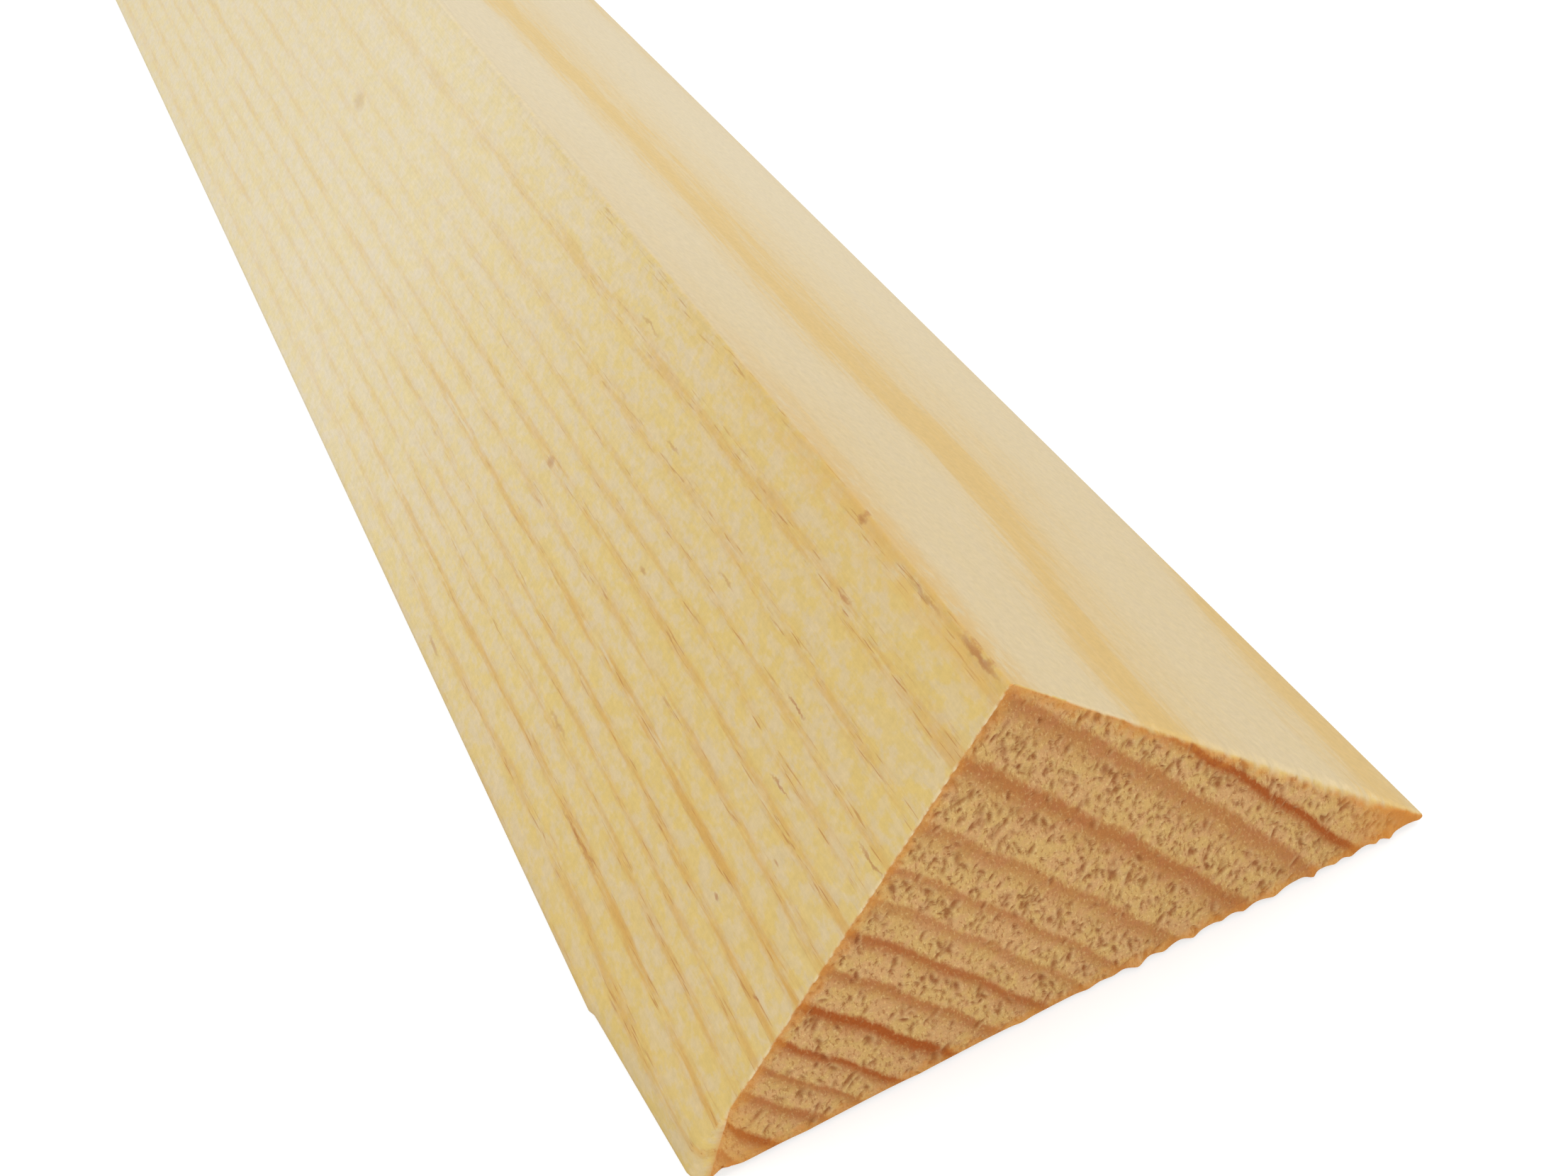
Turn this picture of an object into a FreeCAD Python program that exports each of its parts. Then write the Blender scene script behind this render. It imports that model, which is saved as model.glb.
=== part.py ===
import FreeCAD, Part
import math
import os

# A length of triangular softwood moulding, planed on its three long sides and cut square at both
# ends. It is one piece of wood, and it lies on its wide side with the ridge up.
# X runs across it, Y along it and Z up. The origin is the middle of the side it lies on.

length = 1000.0        # from end to end
leg = 28.0             # width of each side that meets at the ridge, to the sharp corners
ridge_angle = 90.0     # between those two sides, in degrees
ridge_radius = 0.3     # the ridge, eased over
arris_radius = 0.2     # the two thin edges along the wide side, barely eased


def half_base():
    """Half the width of the side that the bar lies on, to the sharp corners."""
    return leg * math.sin(math.radians(ridge_angle / 2))


def height():
    """Height of the sharp ridge above the side that the bar lies on."""
    return leg * math.cos(math.radians(ridge_angle / 2))


def corner(before, point, after, radius):
    """An arc that rounds one corner of the section, touching the sides that meet there."""
    back = (before - point).normalize()
    on = (after - point).normalize()
    half_angle = back.getAngle(on) / 2
    middle = (back + on).normalize()
    setback = radius / math.tan(half_angle)
    reach = radius / math.sin(half_angle) - radius
    return Part.Arc(point + back * setback, point + middle * reach, point + on * setback)


def section():
    """The triangle at the near end, with its three corners rounded."""
    near_end = -length / 2
    left = FreeCAD.Vector(-half_base(), near_end, 0)
    ridge = FreeCAD.Vector(0, near_end, height())
    right = FreeCAD.Vector(half_base(), near_end, 0)
    arcs = [
        corner(right, left, ridge, arris_radius),
        corner(left, ridge, right, ridge_radius),
        corner(ridge, right, left, arris_radius),
    ]
    outline = []
    for arc, following in zip(arcs, arcs[1:] + arcs[:1]):
        outline.append(arc.toShape())
        outline.append(Part.LineSegment(arc.EndPoint, following.StartPoint).toShape())
    return Part.Face(Part.Wire(outline))


def moulding():
    """The section carried along the whole length, as one solid."""
    return section().extrude(FreeCAD.Vector(0, length, 0))


os.makedirs("parts", exist_ok=True)
moulding().exportStep("parts/moulding.step")
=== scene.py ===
import math
import bpy
import numpy as np
from mathutils import Matrix, Vector


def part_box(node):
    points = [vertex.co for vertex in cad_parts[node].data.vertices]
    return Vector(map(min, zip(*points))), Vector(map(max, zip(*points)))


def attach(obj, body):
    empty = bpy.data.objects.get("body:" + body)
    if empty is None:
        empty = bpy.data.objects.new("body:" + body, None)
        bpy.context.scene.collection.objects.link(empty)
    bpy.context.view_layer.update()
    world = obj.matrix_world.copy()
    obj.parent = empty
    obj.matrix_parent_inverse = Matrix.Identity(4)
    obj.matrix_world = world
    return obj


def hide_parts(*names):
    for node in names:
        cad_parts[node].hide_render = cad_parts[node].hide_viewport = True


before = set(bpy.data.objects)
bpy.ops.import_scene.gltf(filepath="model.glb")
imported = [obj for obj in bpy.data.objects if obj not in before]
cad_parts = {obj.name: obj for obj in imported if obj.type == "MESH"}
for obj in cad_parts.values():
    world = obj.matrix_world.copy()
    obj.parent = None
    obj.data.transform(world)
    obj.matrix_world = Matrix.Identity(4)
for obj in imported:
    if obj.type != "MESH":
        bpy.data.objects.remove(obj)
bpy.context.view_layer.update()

# The moulding.
# One length of bare pine, triangular in section, planed on its long sides and sawn square at
# both ends. Nothing is fixed to it. It lies on its wide side with the ridge up.

MM = 0.001
low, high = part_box("moulding")
length = (high.y - low.y) / MM
ridge_radius = 0.3      # the ridge and the two thin edges are barely eased, all in mm
arris_radius = 0.2
half_base = high.x / MM + arris_radius * math.sqrt(2)    # to the sharp corner
height = half_base                                       # the ridge is a right angle
leg = half_base * math.sqrt(2)
LEFT = np.array([-half_base, 0.0])
RIDGE = np.array([0.0, height])
RIGHT = np.array([half_base, 0.0])

# The tree it came from: the rings' centre is far off to the lower left, so the rings run nearly
# along the right side and nearly square to the left one. Outwards from the lower left corner,
# each ring has its width and how dark its late wood is.
PITH = np.array([-200.5, -139.2])
ring_widths = [2.0, 2.0, 1.9, 1.5, 1.6, 2.1, 1.8, 2.0, 1.8, 1.7, 2.3, 3.2, 3.3, 1.8, 3.0, 2.4, 2.2]
ring_depths = [0.7, 1.0, 0.7, 0.65, 0.9, 1.0, 0.65, 0.8, 0.5, 0.55, 0.55, 0.7, 0.6, 1.0, 0.9, 0.6, 0.6]
first_ring_starts = 0.4
LATE = 0.8              # where in a ring its late wood is darkest


def off_the_centre(x, z, y):
    """How far a point is from the lower left corner's ring, in mm outwards, in a trunk that isn't
    quite straight: the rings wander a little along the length."""
    radius = np.hypot(x - PITH[0], z - PITH[1])
    corner = np.hypot(*(LEFT - PITH))
    swell = 0.42 * np.exp(-((y - 22) / 11) ** 2)
    wander = 0.25 * np.sin(y / 38) - 0.25 * (1 - np.cos(y / 75))
    ripple = 0.10 * np.sin(x / 1.9 + z / 3.1) + 0.07 * np.sin(x / 0.9 - z / 1.3 + y / 60)
    out = radius - corner
    flare = 0.95 * (1 - np.exp(-(np.clip(y - 16, 0, None) / 10) ** 2)) * np.clip((out - 29) / 2.5, 0, 1)
    return out - swell - wander - flare + ripple


ring_edges = first_ring_starts + np.cumsum([0.0] + ring_widths)


def rings_at(x, z, y):
    """Rings counted outwards from the lower left corner, with the part of a ring as a fraction."""
    return np.interp(off_the_centre(x, z, y), ring_edges, np.arange(len(ring_edges)))


def late_wood_at(rings):
    """How dark the nearest late wood is."""
    return np.interp(rings, np.arange(len(ring_depths)) + LATE, ring_depths)


def ease(points):
    """Draws the sharp triangle's corners in to their radii. The wood near a corner is drawn in
    towards the middle of its arc, so that nothing overlaps."""
    out = points.copy()
    for corner, before, after, radius in (
        (LEFT, RIGHT, RIDGE, arris_radius),
        (RIDGE, LEFT, RIGHT, ridge_radius),
        (RIGHT, RIDGE, LEFT, arris_radius),
    ):
        back = (before - corner) / np.linalg.norm(before - corner)
        on = (after - corner) / np.linalg.norm(after - corner)
        middle = (back + on) / np.linalg.norm(back + on)
        half = math.acos(float(back @ middle))
        centre = corner + middle * radius / math.sin(half)
        away = points - centre
        far = np.linalg.norm(away, axis=1)
        ahead = -(away @ middle) / np.maximum(far, 1e-9)
        turn = np.arccos(np.clip(ahead, -1, 1))          # from the line to the corner
        wedge = math.pi / 2 - half
        reach = radius / np.cos(np.clip(wedge - turn, 0, None))
        inside = (turn < wedge) & (far > 1e-9)
        out[inside] = centre + away[inside] * (radius / reach[inside])[:, None]
    return out


# The outline goes round from the lower left corner over the ridge to the lower right corner and
# back under the wide side. It is fine at the sawn end, and coarser along the planed sides except
# close to the three edges.
fine = 288              # steps on each side of the triangle at the near end
coarse = [0, 2, 4, 6] + list(range(12, fine - 6, 6)) + [fine - 6, fine - 4, fine - 2]
far_step = 2            # the far end has half as many


def outline(steps):
    """Points round the sharp triangle, as fractions of the fine steps on each side."""
    points = []
    for start, end in ((LEFT, RIDGE), (RIDGE, RIGHT), (RIGHT, LEFT)):
        for i in steps:
            points.append(start + (end - start) * i / fine)
    return np.array(points)


def round_all(steps):
    """The places of those steps in the fine outline."""
    return [side * fine + i for side in range(3) for i in steps]


fine_round = list(range(3 * fine))
coarse_round = round_all(coarse)
far_round = round_all(range(0, fine, far_step))
sharp = outline(range(fine))

# Rows along the length, in mm from the near end: close together near the cut, where a sliver is
# missing from the left edge, and far apart along the plain stretch.
fine_rows = [0.0, 0.15, 0.4, 0.8]
coarse_rows = [1.3, 1.9, 2.6, 3.4, 4.2, 5.0, 6.0, 7.0, 8.0, 9.0, 10.0, 10.8, 11.3, 11.7, 12.1, 12.6]
coarse_rows += list(np.arange(14.0, 40.0, 2.0))
coarse_rows += list(np.arange(40.0, length - 6.0, 9.5))
coarse_rows += [length - 4.0, length - 2.0, length - 0.8]

chance = np.random.default_rng(28)
corners = []            # x, y, z in mm, with y from the near end
faces = []
steps_round = []        # where in the outline each corner is, and which side each face lies on
face_side = []


def add_row(places, y):
    """One row of points round the bar, and the numbers of its corners by place in the outline."""
    start = len(corners)
    eased = ease(sharp[places])
    corners.extend((x, y, z) for x, z in eased)
    steps_round.extend(places)
    return {place: start + i for i, place in enumerate(places)}


def join(near, far):
    """Fills the band between two rows, where the finer row has every place of the coarser one."""
    finer, coarser = (near, far) if len(near) >= len(far) else (far, near)
    places = sorted(coarser)
    for place, after in zip(places, places[1:] + places[:1]):
        stop = after if after > place else 3 * fine
        between = [p for p in range(place, stop) if p in finer] + [after]
        turn = [coarser[after], coarser[place]] if coarser is far else [coarser[place], coarser[after]]
        if len(between) == 2:
            a, b = finer[between[0]], finer[between[1]]
            faces.append((a, b, *turn) if coarser is far else (b, a, *turn))
            face_side.append(place // fine)
            continue
        middle = len(between) // 2
        fan = [(coarser[place], finer[p], finer[q]) for p, q in zip(between[:middle], between[1:])]
        fan.append((coarser[place], finer[between[middle]], coarser[after]))
        fan += [(coarser[after], finer[p], finer[q]) for p, q in zip(between[middle:], between[middle + 1:])]
        faces.extend(fan if coarser is far else [face[::-1] for face in fan])
        face_side.extend([place // fine] * len(fan))


def cap(row, step, y, facing):
    """Fills an end with a triangular grid that shares the row's corners."""
    count = fine // step
    number = {}
    inner = []
    for i in range(count + 1):
        for j in range(count + 1 - i):
            k = count - i - j
            # i counts from the left corner's side, j from the ridge's and k from the right's
            if k == 0:
                place = j * step                       # left side, from the left corner
            elif i == 0:
                place = fine + k * step                # right side, from the ridge
            elif j == 0:
                place = 2 * fine + i * step            # wide side, from the right corner
            else:
                place = None
                number[i, j] = len(corners) + len(inner)
                inner.append((LEFT * i + RIDGE * j + RIGHT * k) / count)
            if place is not None:
                number[i, j] = row[place % (3 * fine)]
    corners.extend((x, y, z) for x, z in ease(np.array(inner)))
    for i in range(count):
        for j in range(count - i):
            a, b, c = number[i, j], number[i + 1, j], number[i, j + 1]
            faces.append((a, b, c)[::facing])
            if i + j < count - 1:
                d = number[i + 1, j + 1]
                faces.append((b, d, c)[::facing])


rows = [add_row(fine_round, y) for y in fine_rows]
rows += [add_row(coarse_round, y) for y in coarse_rows]
rows.append(add_row(far_round, length))
for near, far in zip(rows, rows[1:]):
    join(near, far)
sides_stop = len(corners)
cap(rows[0], 1, 0.0, -1)
near_stop = len(corners)
cap(rows[-1], far_step, length, 1)

place = np.array(corners)
x, y, z = place.T.copy()
total = len(place)
near_cut = np.zeros(total, bool)
near_cut[list(rows[0].values())] = True
near_cut[sides_stop:near_stop] = True
far_cut = np.zeros(total, bool)
far_cut[list(rows[-1].values())] = True
far_cut[near_stop:] = True
ends = near_cut | far_cut
rings = rings_at(x, z, y)
late = late_wood_at(rings)
phase = rings % 1.0
early = np.clip(1.15 - np.abs(phase - 0.35) / 0.35, 0, 1)     # 1 in the soft early wood
to_left = (z - (x + half_base)) / math.sqrt(2) * -1            # depth under each side, in mm
to_right = ((half_base - x) - z) / math.sqrt(2)
along_right = ((x - RIDGE[0]) - (z - RIDGE[1])) / math.sqrt(2)  # from the ridge down each side
along_left = (-(x - RIDGE[0]) - (z - RIDGE[1])) / math.sqrt(2)

# The saw tears little pits out of the soft early wood, mostly upright ones, and leaves the hard
# late wood standing a hair proud.
pit_count = {"near": 1250, "far": 600}
pit_length = 0.17       # half length and half width of a common pit, in mm
pit_width = 0.075
pit_depth = 0.10


def tear_pits(cut, how_many):
    """How deep the pits are at each point of one sawn end, from 0 to 1, and the burrs beside them; the pits later carry
    painted shade and the burrs a painted highlight.
    """
    depth = np.zeros(total)
    burr_and_highlight = np.zeros(total)
    where = np.flatnonzero(cut)
    px, pz = x[where], z[where]
    made = 0
    while made < how_many:
        cx = chance.uniform(-half_base, half_base)
        cz = chance.uniform(0, height)
        if cz > height - abs(cx):
            continue
        ring = float(rings_at(cx, cz, 0.0))
        part = ring % 1.0
        soft = 1.0 if 0.04 < part < 0.62 else 0.14
        wide = np.interp(ring, [0, 4, 8, 11, 14], [0.3, 0.42, 0.7, 1.0, 0.9])
        if chance.random() > soft * wide:
            continue
        lean = math.radians(chance.normal(78, 24))
        size = chance.lognormal(0.0, 0.32)
        half_long = pit_length * size * chance.uniform(0.7, 1.5)
        half_wide = pit_width * size * chance.uniform(0.7, 1.3)
        near = (np.abs(px - cx) < 1.4) & (np.abs(pz - cz) < 1.4)
        dx, dz = px[near] - cx, pz[near] - cz
        u = (dx * math.cos(lean) + dz * math.sin(lean)) / half_long
        v = (dz * math.cos(lean) - dx * math.sin(lean)) / half_wide
        strength = chance.uniform(0.45, 1.0)
        spot = where[near]
        depth[spot] = np.maximum(depth[spot], strength * np.exp(-(u * u + v * v) ** 1.3))
        side = 1.5 if chance.random() < 0.7 else -1.5
        lip = 0.6 * strength * np.exp(-(u * u + (v + side) ** 2 * 1.3))
        burr_and_highlight[spot] = np.maximum(burr_and_highlight[spot], lip)
        made += 1
    return depth, burr_and_highlight


near_pits, near_burrs = tear_pits(near_cut, pit_count["near"])
far_pits, far_burrs = tear_pits(far_cut, pit_count["far"])
pits = near_pits + far_pits
burrs = (near_burrs + far_burrs) * (1 - pits)
crumbs = chance.normal(0, 1, total)
band = np.exp(-((phase - LATE) / 0.13) ** 2) * late
relief = 0.035 * band + 0.06 * burrs + 0.010 * crumbs * (0.3 + early) - pit_depth * pits
rim = np.clip(np.minimum(np.minimum(to_left, to_right), z) / 0.25, 0, 1)   # none right at the edge
inwards = near_cut.astype(float) - far_cut.astype(float)

# The upper right edge of the near end is worn soft: the planed side rolls over into the cut by up
# to half a millimetre. The left one is crisp, with frayed fibres standing along it.
worn = np.interp(along_right / leg, [0, 0.12, 0.24, 0.3, 0.45, 0.6, 0.72, 0.84, 0.93, 1],
                 [0.05, 0.12, 0.20, 0.38, 0.36, 0.66, 0.80, 0.72, 0.35, 0.12])
worn = worn * (1 + 0.35 * np.sin(along_right * 2.7) * np.sin(along_right * 1.1 + 1) + 0.15 * np.sin(along_right * 6.1))
roll = np.clip(1 - to_right / np.maximum(worn, 1e-6), 0, 1)
rolled = worn * (1 - np.sqrt(1 - roll ** 2))
right_side = to_right < 0.01
fade = np.clip(1 - y / 4.0, 0, 1)
shift_y = np.where(near_cut, rolled, np.where(right_side & (y < 4.0), worn * fade, 0.0))

# The wide side's edge is ragged where the saw broke through: chips a millimetre or so long, few on
# the left, where the late wood lies close together, and more on the right.
chip = np.zeros(total)
tuft = np.zeros(total)
at = -half_base + 2.0
while at < half_base - 0.6:
    few = at < 0.5
    long = chance.uniform(2.5, 6.0) if few else chance.uniform(0.7, 2.4)
    high = chance.uniform(0.02, 0.05) if few else chance.uniform(0.04, 0.16)
    along_it = np.clip((x - at) / long, 0, 1)
    chip = np.maximum(chip, high * np.sin(math.pi * along_it ** 1.6))
    wide = chance.uniform(0.22, 0.5)
    out = chance.uniform(0.0, 0.07) if few else chance.uniform(0.03, 0.24)
    tuft = np.maximum(tuft, out * np.exp(-((x - at) / wide) ** 2))     # fibres left standing between
    at = at + long
chip = chip + 0.35 * np.exp(-((x + half_base - 1.6) / 1.1) ** 2)
chip_reach = 1.3        # how far the chips run back from the end
lift = chip * np.clip(1 - y / chip_reach, 0, 1)
tuft = np.where(ends & ~far_cut, tuft * np.clip(1 - z / 0.45, 0, 1), 0)

# A sliver is missing from the left edge: it starts with a step 12 mm back and takes more and
# more to the end, where the tip is rounded off.
sliver_starts = 11.8
sliver_at_step = 0.28
sliver_at_end = 1.05
tip_round = 0.8
missing = np.interp(y, [0, sliver_starts - 0.3, sliver_starts], [sliver_at_end, sliver_at_step, 0])
short_of_end = np.clip(tip_round - y, 0, None)
missing = missing + tip_round - np.sqrt(tip_round ** 2 - short_of_end ** 2)
from_edge = (x + half_base) / np.maximum(2 * missing, 1e-6)
torn = (missing > 0) & (from_edge < 1)
shift_x = np.where(torn, missing * (1 - from_edge), 0.0)

frayed = np.zeros(total)
fibres = chance.random(total)
fray_line = np.flatnonzero(near_cut & (to_left < 0.02))
fray_line = fray_line[np.argsort(z[fray_line])]
matted = np.convolve(fibres[fray_line], np.ones(3) / 3, "same")      # a few fibres stand together
frayed[fray_line] = np.clip(matted * 2.6 - 0.9, 0, 1) * np.clip(z[fray_line] / 3 - 0.4, 0, 1)
shift_y = shift_y - 0.05 * frayed - tuft

new_x = x + shift_x
new_y = y + shift_y - relief * rim * inwards
new_z = np.where(z < lift, lift, z)

sawn = np.where(ends, 1.0, 0.0)
sawn = np.where(near_cut, np.clip(to_right / np.maximum(worn, 1e-6), 0, 1), sawn)
sawn = np.where(near_cut & (to_left < 0.02), 0.5, sawn)

mesh = bpy.data.meshes.new("moulding_wood")
placed = np.stack([new_x * MM, new_y * MM + low.y, new_z * MM], 1)
mesh.from_pydata(placed.tolist(), [], faces)
mesh.update()
for name, values in (("rings", rings), ("late_wood", late), ("sawn", sawn), ("pits", pits),
                     ("burrs", burrs), ("frayed", frayed)):
    layer = mesh.attributes.new(name, "FLOAT", "POINT")
    layer.data.foreach_set("value", values.astype(np.float32))

# A flat map of the whole surface for the baked picture: the two ends side by side, and the three
# long sides in strips, with the stretch next to the near end drawn larger than the rest.
flat = mesh.uv_layers.new(name="OFBake")
stretches = [0.0, 116.0, 116.0 + (length - 116.0) / 2, length]
stretches = [min((row[1] for row in place[:sides_stop]), key=lambda at: abs(at - stop)) for stop in stretches]
strip_high = [[0.118, 0.118, 0.05], [0.052, 0.052, 0.05], [0.052, 0.052, 0.05]]
strip_low = {}
level = 0.335
for stretch in range(3):
    for side_number in range(3):
        strip_low[stretch, side_number] = level
        level += strip_high[stretch][side_number] + 0.006
corner_uv = []
for number, face in enumerate(faces):
    if number >= len(face_side):
        is_near = face[0] < near_stop and y[face[0]] == 0
        scale = 0.6 / (2 * half_base) if is_near else 0.38 / (2 * half_base)
        start = 0.005 if is_near else 0.612
        for corner in face:
            corner_uv.extend((start + (x[corner] + half_base) * scale, 0.01 + z[corner] * scale))
        continue
    side_number = face_side[number]
    middle = sum(y[corner] for corner in face) / len(face)
    stretch = 0 if middle < stretches[1] else 1 if middle < stretches[2] else 2
    first, last = stretches[stretch], stretches[stretch + 1]
    for corner in face:
        part = (steps_round[corner] - side_number * fine) / fine
        if side_number == 2 and steps_round[corner] == 0:
            part = 1.0
        u = 0.004 + 0.992 * (y[corner] - first) / (last - first)
        corner_uv.extend((u, strip_low[stretch, side_number] + part * strip_high[stretch][side_number]))
flat.data.foreach_set("uv", np.array(corner_uv, np.float32))
mesh.polygons.foreach_set("use_smooth", [True] * len(mesh.polygons))
mesh.set_sharp_from_angle(angle=math.radians(42))
wood = bpy.data.objects.new("moulding_wood", mesh)
bpy.context.scene.collection.objects.link(wood)
print("MOULDING", len(mesh.vertices), "points", sum(len(p.vertices) - 2 for p in mesh.polygons), "triangles")

# Its finish: bare pine. The planed sides are pale cream with soft orange lines of late wood, and
# the sawn ends are tan with brown late wood, because open end grain drinks the light.
pine = bpy.data.materials.new("bare_pine")
pine.use_nodes = True
nodes = pine.node_tree.nodes
links = pine.node_tree.links
nodes.clear()


def node(kind, inputs=None, **settings):
    """Adds a node. Each input is a plain value or another node's output."""
    made = nodes.new(kind)
    for key, value in settings.items():
        setattr(made, key, value)
    for key, value in (inputs or {}).items():
        if isinstance(value, bpy.types.NodeSocket):
            links.new(value, made.inputs[key])
        else:
            made.inputs[key].default_value = value
    return made


def math_of(operation, *values, clamp=False):
    return node("ShaderNodeMath", dict(enumerate(values)), operation=operation, use_clamp=clamp).outputs[0]


def colour(red, green, blue):
    """A colour as it is seen, from 0 to 255, turned into the strength of its light."""
    return tuple(c / 12.92 if c <= 0.04045 else ((c + 0.055) / 1.055) ** 2.4
                 for c in (red / 255, green / 255, blue / 255)) + (1.0,)


def blend(amount, under, over, kind="MIX"):
    made = node("ShaderNodeMix", data_type="RGBA", blend_type=kind)
    for key, value in ((0, amount), (6, under), (7, over)):
        if isinstance(value, bpy.types.NodeSocket):
            links.new(value, made.inputs[key])
        else:
            made.inputs[key].default_value = value
    return made.outputs[2]


def read(name):
    return node("ShaderNodeAttribute", attribute_name=name).outputs["Fac"]


def curve(value, points):
    """A smooth curve through points from (0, ...) to (1, ...)."""
    made = node("ShaderNodeFloatCurve", {"Value": value})
    line = made.mapping.curves[0]
    for _ in points[2:]:
        line.points.new(0.5, 0.5)
    for point, at in zip(line.points, points):
        point.location = at
        point.handle_type = "AUTO_CLAMPED"
    made.mapping.update()
    return made.outputs[0]


def between(value, low_end, high_end):
    """0 below low_end, 1 above high_end, and smooth in between."""
    return node("ShaderNodeMapRange", {0: value, 1: low_end, 2: high_end},
                interpolation_type="SMOOTHSTEP").outputs[0]


spot = node("ShaderNodeTexCoord").outputs["Object"]
normal = node("ShaderNodeTexCoord").outputs["Normal"]
where = node("ShaderNodeSeparateXYZ", {0: spot})


def grain(across, along, detail=3.0, rough=0.55, seed=0.0, up=None):
    """Noise in the wood, with its size across and along the grain in mm, centred on 0.5."""
    stretch = (1 / (across * MM), 1 / (along * MM), 1 / ((up or across) * MM))
    at = node("ShaderNodeMapping", {"Vector": spot, "Scale": stretch, "Location": (seed, seed * 2.7, -seed)})
    return node("ShaderNodeTexNoise", {"Vector": at.outputs[0], "Scale": 1.0, "Detail": detail,
                                       "Roughness": rough}).outputs[0]


def centred(value, amount):
    """The noise made to swing by amount round 0."""
    return math_of("MULTIPLY", math_of("SUBTRACT", value, 0.5), amount)


ring = read("rings")
late_wood = read("late_wood")
cut = read("sawn")
pit = read("pits")
burr_and_highlight = read("burrs")
fray = read("frayed")

# on the planed sides the rings are soft broken lines, strongest within a hand's breadth of the near end
from_end = math_of("DIVIDE", math_of("SUBTRACT", where.outputs["Y"], low.y), MM)
by_near_end = math_of("SUBTRACT", 1.0, between(from_end, 5.0, 85.0))
side_ring = math_of("FRACT", math_of("ADD", ring, centred(grain(0.4, 5.0, 4.0, 0.65, 3.1), 0.40)))
line = curve(side_ring, [(0, 0.34), (0.10, 0.10), (0.3, 0.0), (0.5, 0.02), (0.66, 0.30), (0.82, 1.0), (1, 0.34)])
glow = curve(side_ring, [(0, 0.5), (0.12, 0.22), (0.28, 0.04), (0.5, 0.03), (0.66, 0.3), (0.84, 1.0), (1, 0.5)])
outward = node("ShaderNodeVectorMath", {0: normal, 1: (0.804, 0.0, 0.595)}, operation="DOT_PRODUCT").outputs["Value"]
facing_out = between(outward, 0.55, 0.9)
strength = math_of("ADD", line, math_of("MULTIPLY", facing_out, math_of("SUBTRACT", glow, line)))
strength = math_of("MULTIPLY", strength, late_wood)
broken = between(grain(0.5, 7.0, 4.0, 0.65, 8.8), 0.33, 0.60)
broken = math_of("MULTIPLY", broken, math_of("ADD", 0.40, math_of("MULTIPLY", by_near_end, 0.6)))
broken = math_of("ADD", broken, math_of("MULTIPLY", facing_out, math_of("SUBTRACT", 0.85, broken)))
strength = math_of("MULTIPLY", strength, broken, clamp=True)

from_ridge = math_of("DIVIDE", math_of("SUBTRACT", height * MM, where.outputs["Z"]), MM * math.sqrt(0.5))
eased_ridge = math_of("MULTIPLY", math_of("SUBTRACT", 1.0, between(from_ridge, 0.4, 2.0)), between(from_end, 6.0, 26.0))
strength = math_of("MULTIPLY", strength, math_of("SUBTRACT", 1.0, math_of("MULTIPLY", eased_ridge, 0.8)))

pale = colour(222, 206, 173)
yellow = colour(226, 206, 141)
pinkish = colour(224, 210, 180)
orange = blend(facing_out, colour(217, 178, 104), colour(222, 189, 118))
patches = between(grain(0.75, 1.3, 4.0, 0.62, 1.7), 0.42, 0.58)
patches = math_of("ADD", math_of("MULTIPLY", patches, 0.75),
                  math_of("MULTIPLY", between(grain(1.4, 9.0, 3.0, 0.6, 2.9), 0.38, 0.62), 0.35))
patchy = math_of("MULTIPLY", patches, math_of("SUBTRACT", 1.0, math_of("MULTIPLY", facing_out, 0.88)))
patchy = math_of("MULTIPLY", patchy, math_of("ADD", 0.5, math_of("MULTIPLY", by_near_end, 0.5)))
ground = blend(facing_out, pinkish, pale)
ground = blend(patchy, ground, yellow)
side = blend(strength, ground, orange)
yellowed = math_of("MULTIPLY", by_near_end, math_of("SUBTRACT", 1.0, math_of("MULTIPLY", facing_out, 0.45)))
side = blend(yellowed, side, blend(1.0, side, colour(238, 226, 200), "MULTIPLY"))
streak = math_of("ADD", 1.0, centred(grain(0.14, 2.6, 3.0, 0.65, 5.5), 0.10))
fleck = math_of("ADD", 1.0, centred(grain(0.34, 0.42, 3.0, 0.65, 9.3), 0.26))
tone = math_of("MULTIPLY", streak, fleck)
tone_colour = node("ShaderNodeCombineXYZ", {0: tone, 1: tone, 2: tone}).outputs[0]
side = blend(1.0, side, tone_colour, "MULTIPLY")

# fine brown hairs lie in the late wood near the near end
hairs = between(grain(0.11, 2.2, 2.0, 0.5, 15.2), 0.60, 0.70)
hairs = math_of("MULTIPLY", hairs, math_of("MULTIPLY", line, by_near_end))
hairs = math_of("MULTIPLY", hairs, math_of("SUBTRACT", 0.75, math_of("MULTIPLY", facing_out, 0.7)))
side = blend(hairs, side, colour(176, 122, 62))

# the ridge carries a thin orange line that fades out along the length
ridge_line = math_of("SUBTRACT", 1.0, between(from_ridge, 0.5, 2.5))
ridge_line = math_of("MULTIPLY", ridge_line, math_of("SUBTRACT", 1.0, between(from_end, 12.0, 42.0)))
ridge_line = math_of("MULTIPLY", ridge_line, between(grain(0.6, 1.6, 4.0, 0.65, 21.0), 0.36, 0.56))
side = blend(math_of("MULTIPLY", ridge_line, 0.5), side, colour(214, 172, 96))
# the very top of the ridge is painted a little darker: painted shade that tones down its highlight
ridge_top_painted_shade = math_of("SUBTRACT", 1.0, between(from_ridge, 0.1, 0.6))
side = blend(math_of("MULTIPLY", ridge_top_painted_shade, 0.5), side, blend(1.0, side, colour(228, 224, 216), "MULTIPLY"))

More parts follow.
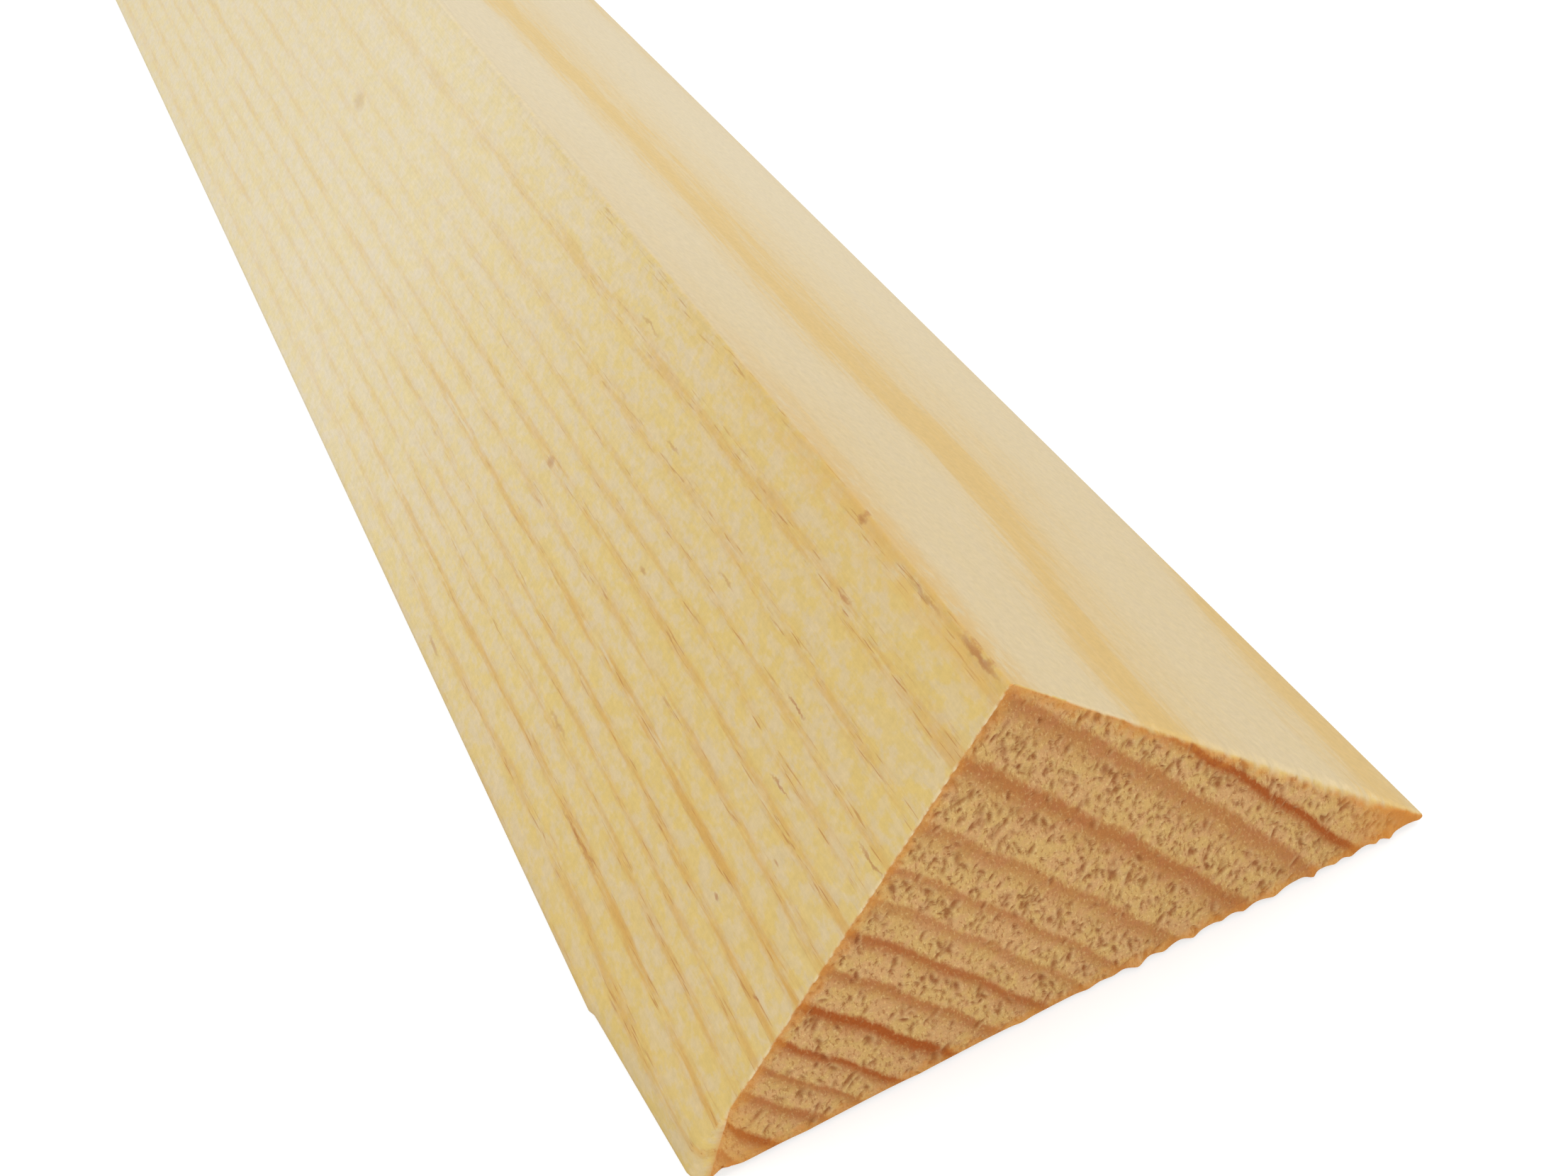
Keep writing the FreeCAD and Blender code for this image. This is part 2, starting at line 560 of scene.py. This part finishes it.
# small flaws on the left side, splinters and specks: how far from the ridge and from the near end,
# half their width and length, all in mm, and how dark
flaws = [
    (8.7, 10.5, 0.09, 1.1, 0.9), (11.7, 8.5, 0.10, 1.2, 0.8), (10.0, 1.1, 0.10, 1.5, 0.8),
    (3.5, 11.8, 0.12, 0.9, 0.7), (12.8, 40.1, 0.35, 0.55, 0.6), (11.6, 26.6, 0.18, 0.5, 0.6),
    (8.0, 20.0, 0.13, 1.1, 0.5), (21.1, 26.2, 0.15, 1.6, 0.45), (23.4, 19.4, 0.13, 3.2, 0.6),
    (26.5, 41.5, 0.16, 1.3, 0.55), (6.0, 30.0, 0.13, 1.0, 0.5), (2.7, 38.0, 0.12, 1.6, 0.5),
    (17.8, 8.2, 0.13, 0.3, 0.8), (18.6, 2.4, 0.13, 0.35, 0.8), (14.1, 6.0, 0.12, 0.3, 0.7),
    (0.35, 2.4, 0.22, 2.0, 0.9), (0.5, 7.2, 0.18, 1.7, 0.6), (0.4, 13.6, 0.25, 0.5, 0.8),
    (10.1, 90.5, 0.8, 1.5, 0.3),
]
bent = math_of("ADD", from_ridge, centred(grain(0.5, 0.9, 4.0, 0.65, 18.0), 0.7))
flawed = 0.0
for down, back, half_wide, half_long, dark in flaws:
    u = math_of("MULTIPLY_ADD", bent, 1 / half_wide, -down / half_wide)
    v = math_of("MULTIPLY_ADD", from_end, 1 / half_long, -back / half_long)
    inside = math_of("SUBTRACT", 1.0, math_of("ADD", math_of("MULTIPLY", u, u), math_of("MULTIPLY", v, v)), clamp=True)
    flawed = math_of("MULTIPLY_ADD", inside, dark, flawed)
on_the_left = math_of("LESS_THAN", where.outputs["X"], 0.0001)
flawed = math_of("MULTIPLY", math_of("MULTIPLY", flawed, 0.75), on_the_left, clamp=True)
side = blend(flawed, side, colour(160, 92, 44))

# on the sawn ends they are hard bands, paler towards the centre of the tree
end_ring = math_of("ADD", ring, centred(grain(0.7, 40.0, 3.0, 0.6, 6.4), 0.20))
end_ring = math_of("FRACT", math_of("ADD", end_ring, centred(grain(0.14, 40.0, 3.0, 0.6, 7.9, up=0.4), 0.16)))
hard = curve(end_ring, [(0, 0.12), (0.06, 0.02), (0.36, 0.04), (0.58, 0.36), (0.74, 0.82), (0.86, 1.0), (0.93, 0.7), (1, 0.12)])
hard = math_of("MULTIPLY", hard, late_wood)
tan = colour(205, 166, 100)
rosy = colour(204, 158, 104)
brown = colour(160, 80, 20)
pit_shade_umber = colour(142, 78, 30)
end = blend(between(grain(0.8, 40.0, 3.0, 0.6, 2.2), 0.4, 0.62), tan, rosy)
end = blend(math_of("MULTIPLY", hard, 1.05, clamp=True), end, brown)
soft = math_of("SUBTRACT", 1.0, math_of("MULTIPLY", hard, 0.8), clamp=True)
dark_specks = between(grain(0.13, 40.0, 3.0, 0.6, 13.0, up=0.3), 0.53, 0.66)
pale_specks = between(grain(0.12, 40.0, 3.0, 0.6, 14.6, up=0.22), 0.54, 0.68)
end = blend(math_of("MULTIPLY", math_of("MULTIPLY", pale_specks, soft), 0.65), end, colour(226, 192, 128))
end = blend(math_of("MULTIPLY", math_of("MULTIPLY", dark_specks, soft), 0.60), end, colour(152, 92, 38))
# the burrs beside the pits are painted pale: a painted highlight on their raised lips
end = blend(math_of("MULTIPLY", burr_and_highlight, 0.8, clamp=True), end, colour(224, 194, 136))
# the pits are painted dark umber: painted shade in the torn-out hollows of the end grain
end = blend(math_of("MULTIPLY", math_of("MULTIPLY", pit, 1.3, clamp=True), 0.8), end, pit_shade_umber)
speckle = math_of("ADD", 1.0, centred(grain(0.15, 40.0, 3.0, 0.7, 4.9, up=0.25), 0.40))
speckle_colour = node("ShaderNodeCombineXYZ", {0: speckle, 1: speckle, 2: speckle}).outputs[0]
end = blend(1.0, end, speckle_colour, "MULTIPLY")

# the rim of a sawn end is painted orange
from_left = math_of("ADD", math_of("SUBTRACT", where.outputs["X"], where.outputs["Z"]), half_base * MM)
from_right = math_of("SUBTRACT", half_base * MM, math_of("ADD", where.outputs["X"], where.outputs["Z"]))
from_rim = math_of("MINIMUM", where.outputs["Z"], math_of("MULTIPLY", math_of("MINIMUM", from_left, from_right), 0.7))
from_rim = math_of("ADD", from_rim, centred(grain(0.5, 40.0, 3.0, 0.6, 16.3), 0.0016))
orange_rim_mask = math_of("SUBTRACT", 1.0, between(from_rim, -0.0001, 0.0009))
end = blend(math_of("MULTIPLY", orange_rim_mask, 0.6), end, colour(208, 136, 52))
from_tip = math_of("SUBTRACT", half_base * MM, math_of("ABSOLUTE", where.outputs["X"]))
at_tip = math_of("SUBTRACT", 1.0, between(from_tip, 0.001, 0.006))
end = blend(math_of("MULTIPLY", at_tip, 0.6), end, colour(216, 145, 62))

wood_colour = blend(between(cut, 0.15, 0.75), side, end)
wood_colour = blend(math_of("MULTIPLY", fray, 0.8), wood_colour, colour(232, 214, 170))

rough = math_of("ADD", 0.58, math_of("MULTIPLY", cut, 0.25))
rough = math_of("ADD", rough, centred(grain(0.4, 5.0, 2.0, 0.5, 7.7), 0.18))
bump_height = math_of("ADD", grain(0.14, 3.0, 3.0, 0.6, 11.0), math_of("MULTIPLY", grain(0.12, 0.12, 2.0, 0.6, 12.0), 0.8))
bump_strength = math_of("ADD", 0.25, math_of("MULTIPLY", cut, 0.5))
bump = node("ShaderNodeBump", {"Strength": bump_strength, "Height": bump_height, "Distance": 0.00006})
shader = node("ShaderNodeBsdfPrincipled", {"Base Color": wood_colour, "Roughness": rough,
                                           "Normal": bump.outputs[0], "Specular IOR Level": 0.3})
finish = node("ShaderNodeOutputMaterial", {"Surface": shader.outputs[0]})
mesh.materials.append(pine)

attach(wood, "root")
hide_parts("moulding")

# The floor.
# A plain white studio table top, matt, with a soft shadow under the moulding.
floor_mesh = bpy.data.meshes.new("floor")
floor_half = 40.0
floor_mesh.from_pydata([(-floor_half, -floor_half, 0), (floor_half, -floor_half, 0),
                        (floor_half, floor_half, 0), (-floor_half, floor_half, 0)], [], [(0, 1, 2, 3)])
floor = bpy.data.objects.new("floor", floor_mesh)
floor.location.z = low.z - 0.0002
bpy.context.scene.collection.objects.link(floor)
table = bpy.data.materials.new("white_table")
table.use_nodes = True
nodes = table.node_tree.nodes
links = table.node_tree.links
nodes.clear()
matt = node("ShaderNodeBsdfDiffuse", {"Color": (0.55, 0.55, 0.55, 1)})
seen = node("ShaderNodeLightPath").outputs["Is Camera Ray"]
lit = node("ShaderNodeEmission", {"Color": (1, 1, 1, 1), "Strength": math_of("MULTIPLY", seen, 0.6)})
both = node("ShaderNodeAddShader", {0: matt.outputs[0], 1: lit.outputs[0]})
node("ShaderNodeOutputMaterial", {"Surface": both.outputs[0]})
floor_mesh.materials.append(table)

# The light.
# A bright even room and three large soft lamps, one over the left side, one behind the ridge and one in front of the
# near end.
world = bpy.data.worlds.new("studio")
world.use_nodes = True
nodes = world.node_tree.nodes
links = world.node_tree.links
nodes.clear()
seen = node("ShaderNodeLightPath").outputs["Is Camera Ray"]
brightness = math_of("ADD", 0.6, math_of("MULTIPLY", seen, 0.4))
room = node("ShaderNodeBackground", {"Color": (1.0, 1.0, 1.0, 1), "Strength": brightness})
node("ShaderNodeOutputWorld", {"Surface": room.outputs[0]})
bpy.context.scene.world = world


def lamp(name, at, towards, size, power):
    """A square soft lamp that faces a point."""
    light = bpy.data.lights.new(name, "AREA")
    light.size = size
    light.energy = power
    made = bpy.data.objects.new(name, light)
    made.location = at
    made.rotation_euler = (Vector(towards) - Vector(at)).to_track_quat("-Z", "Y").to_euler()
    bpy.context.scene.collection.objects.link(made)
    return made


near_end = Vector((0, low.y, 0))
lamp("soft_lamp_left", (-1.2, low.y + 0.5, 1.5), near_end, 1.2, 14.0)
lamp("soft_lamp_right", (1.4, low.y + 0.6, 1.5), near_end, 1.4, 15.5)
lamp("soft_lamp_front", (0.1, low.y - 1.8, 0.8), near_end, 1.2, 19.0)

# The camera.
# It is held close over the near end, a hand's breadth from it, tilted, and looks down the length.
camera_data = bpy.data.cameras.new("camera")
camera_data.lens = 47.41
camera_data.shift_x = -0.0578
camera_data.shift_y = -0.0265
camera_data.clip_start = 0.005
camera_data.clip_end = 20.0
camera = bpy.data.objects.new("camera", camera_data)
bpy.context.scene.collection.objects.link(camera)
camera_from_end = Vector((-0.7835, -1.9982, 2.6990)) * leg * MM
heading = math.radians(-17.501)       # it looks a little to the right of straight along
downward = math.radians(38.410)
roll_angle = math.radians(-12.543)
looking = (Matrix.Rotation(heading, 4, "Z") @ Matrix.Rotation(math.pi / 2 - downward, 4, "X")
           @ Matrix.Rotation(roll_angle, 4, "Z"))
camera.matrix_world = Matrix.Translation(near_end + camera_from_end) @ looking
bpy.context.scene.camera = camera
bpy.context.scene.view_settings.view_transform = "Standard"
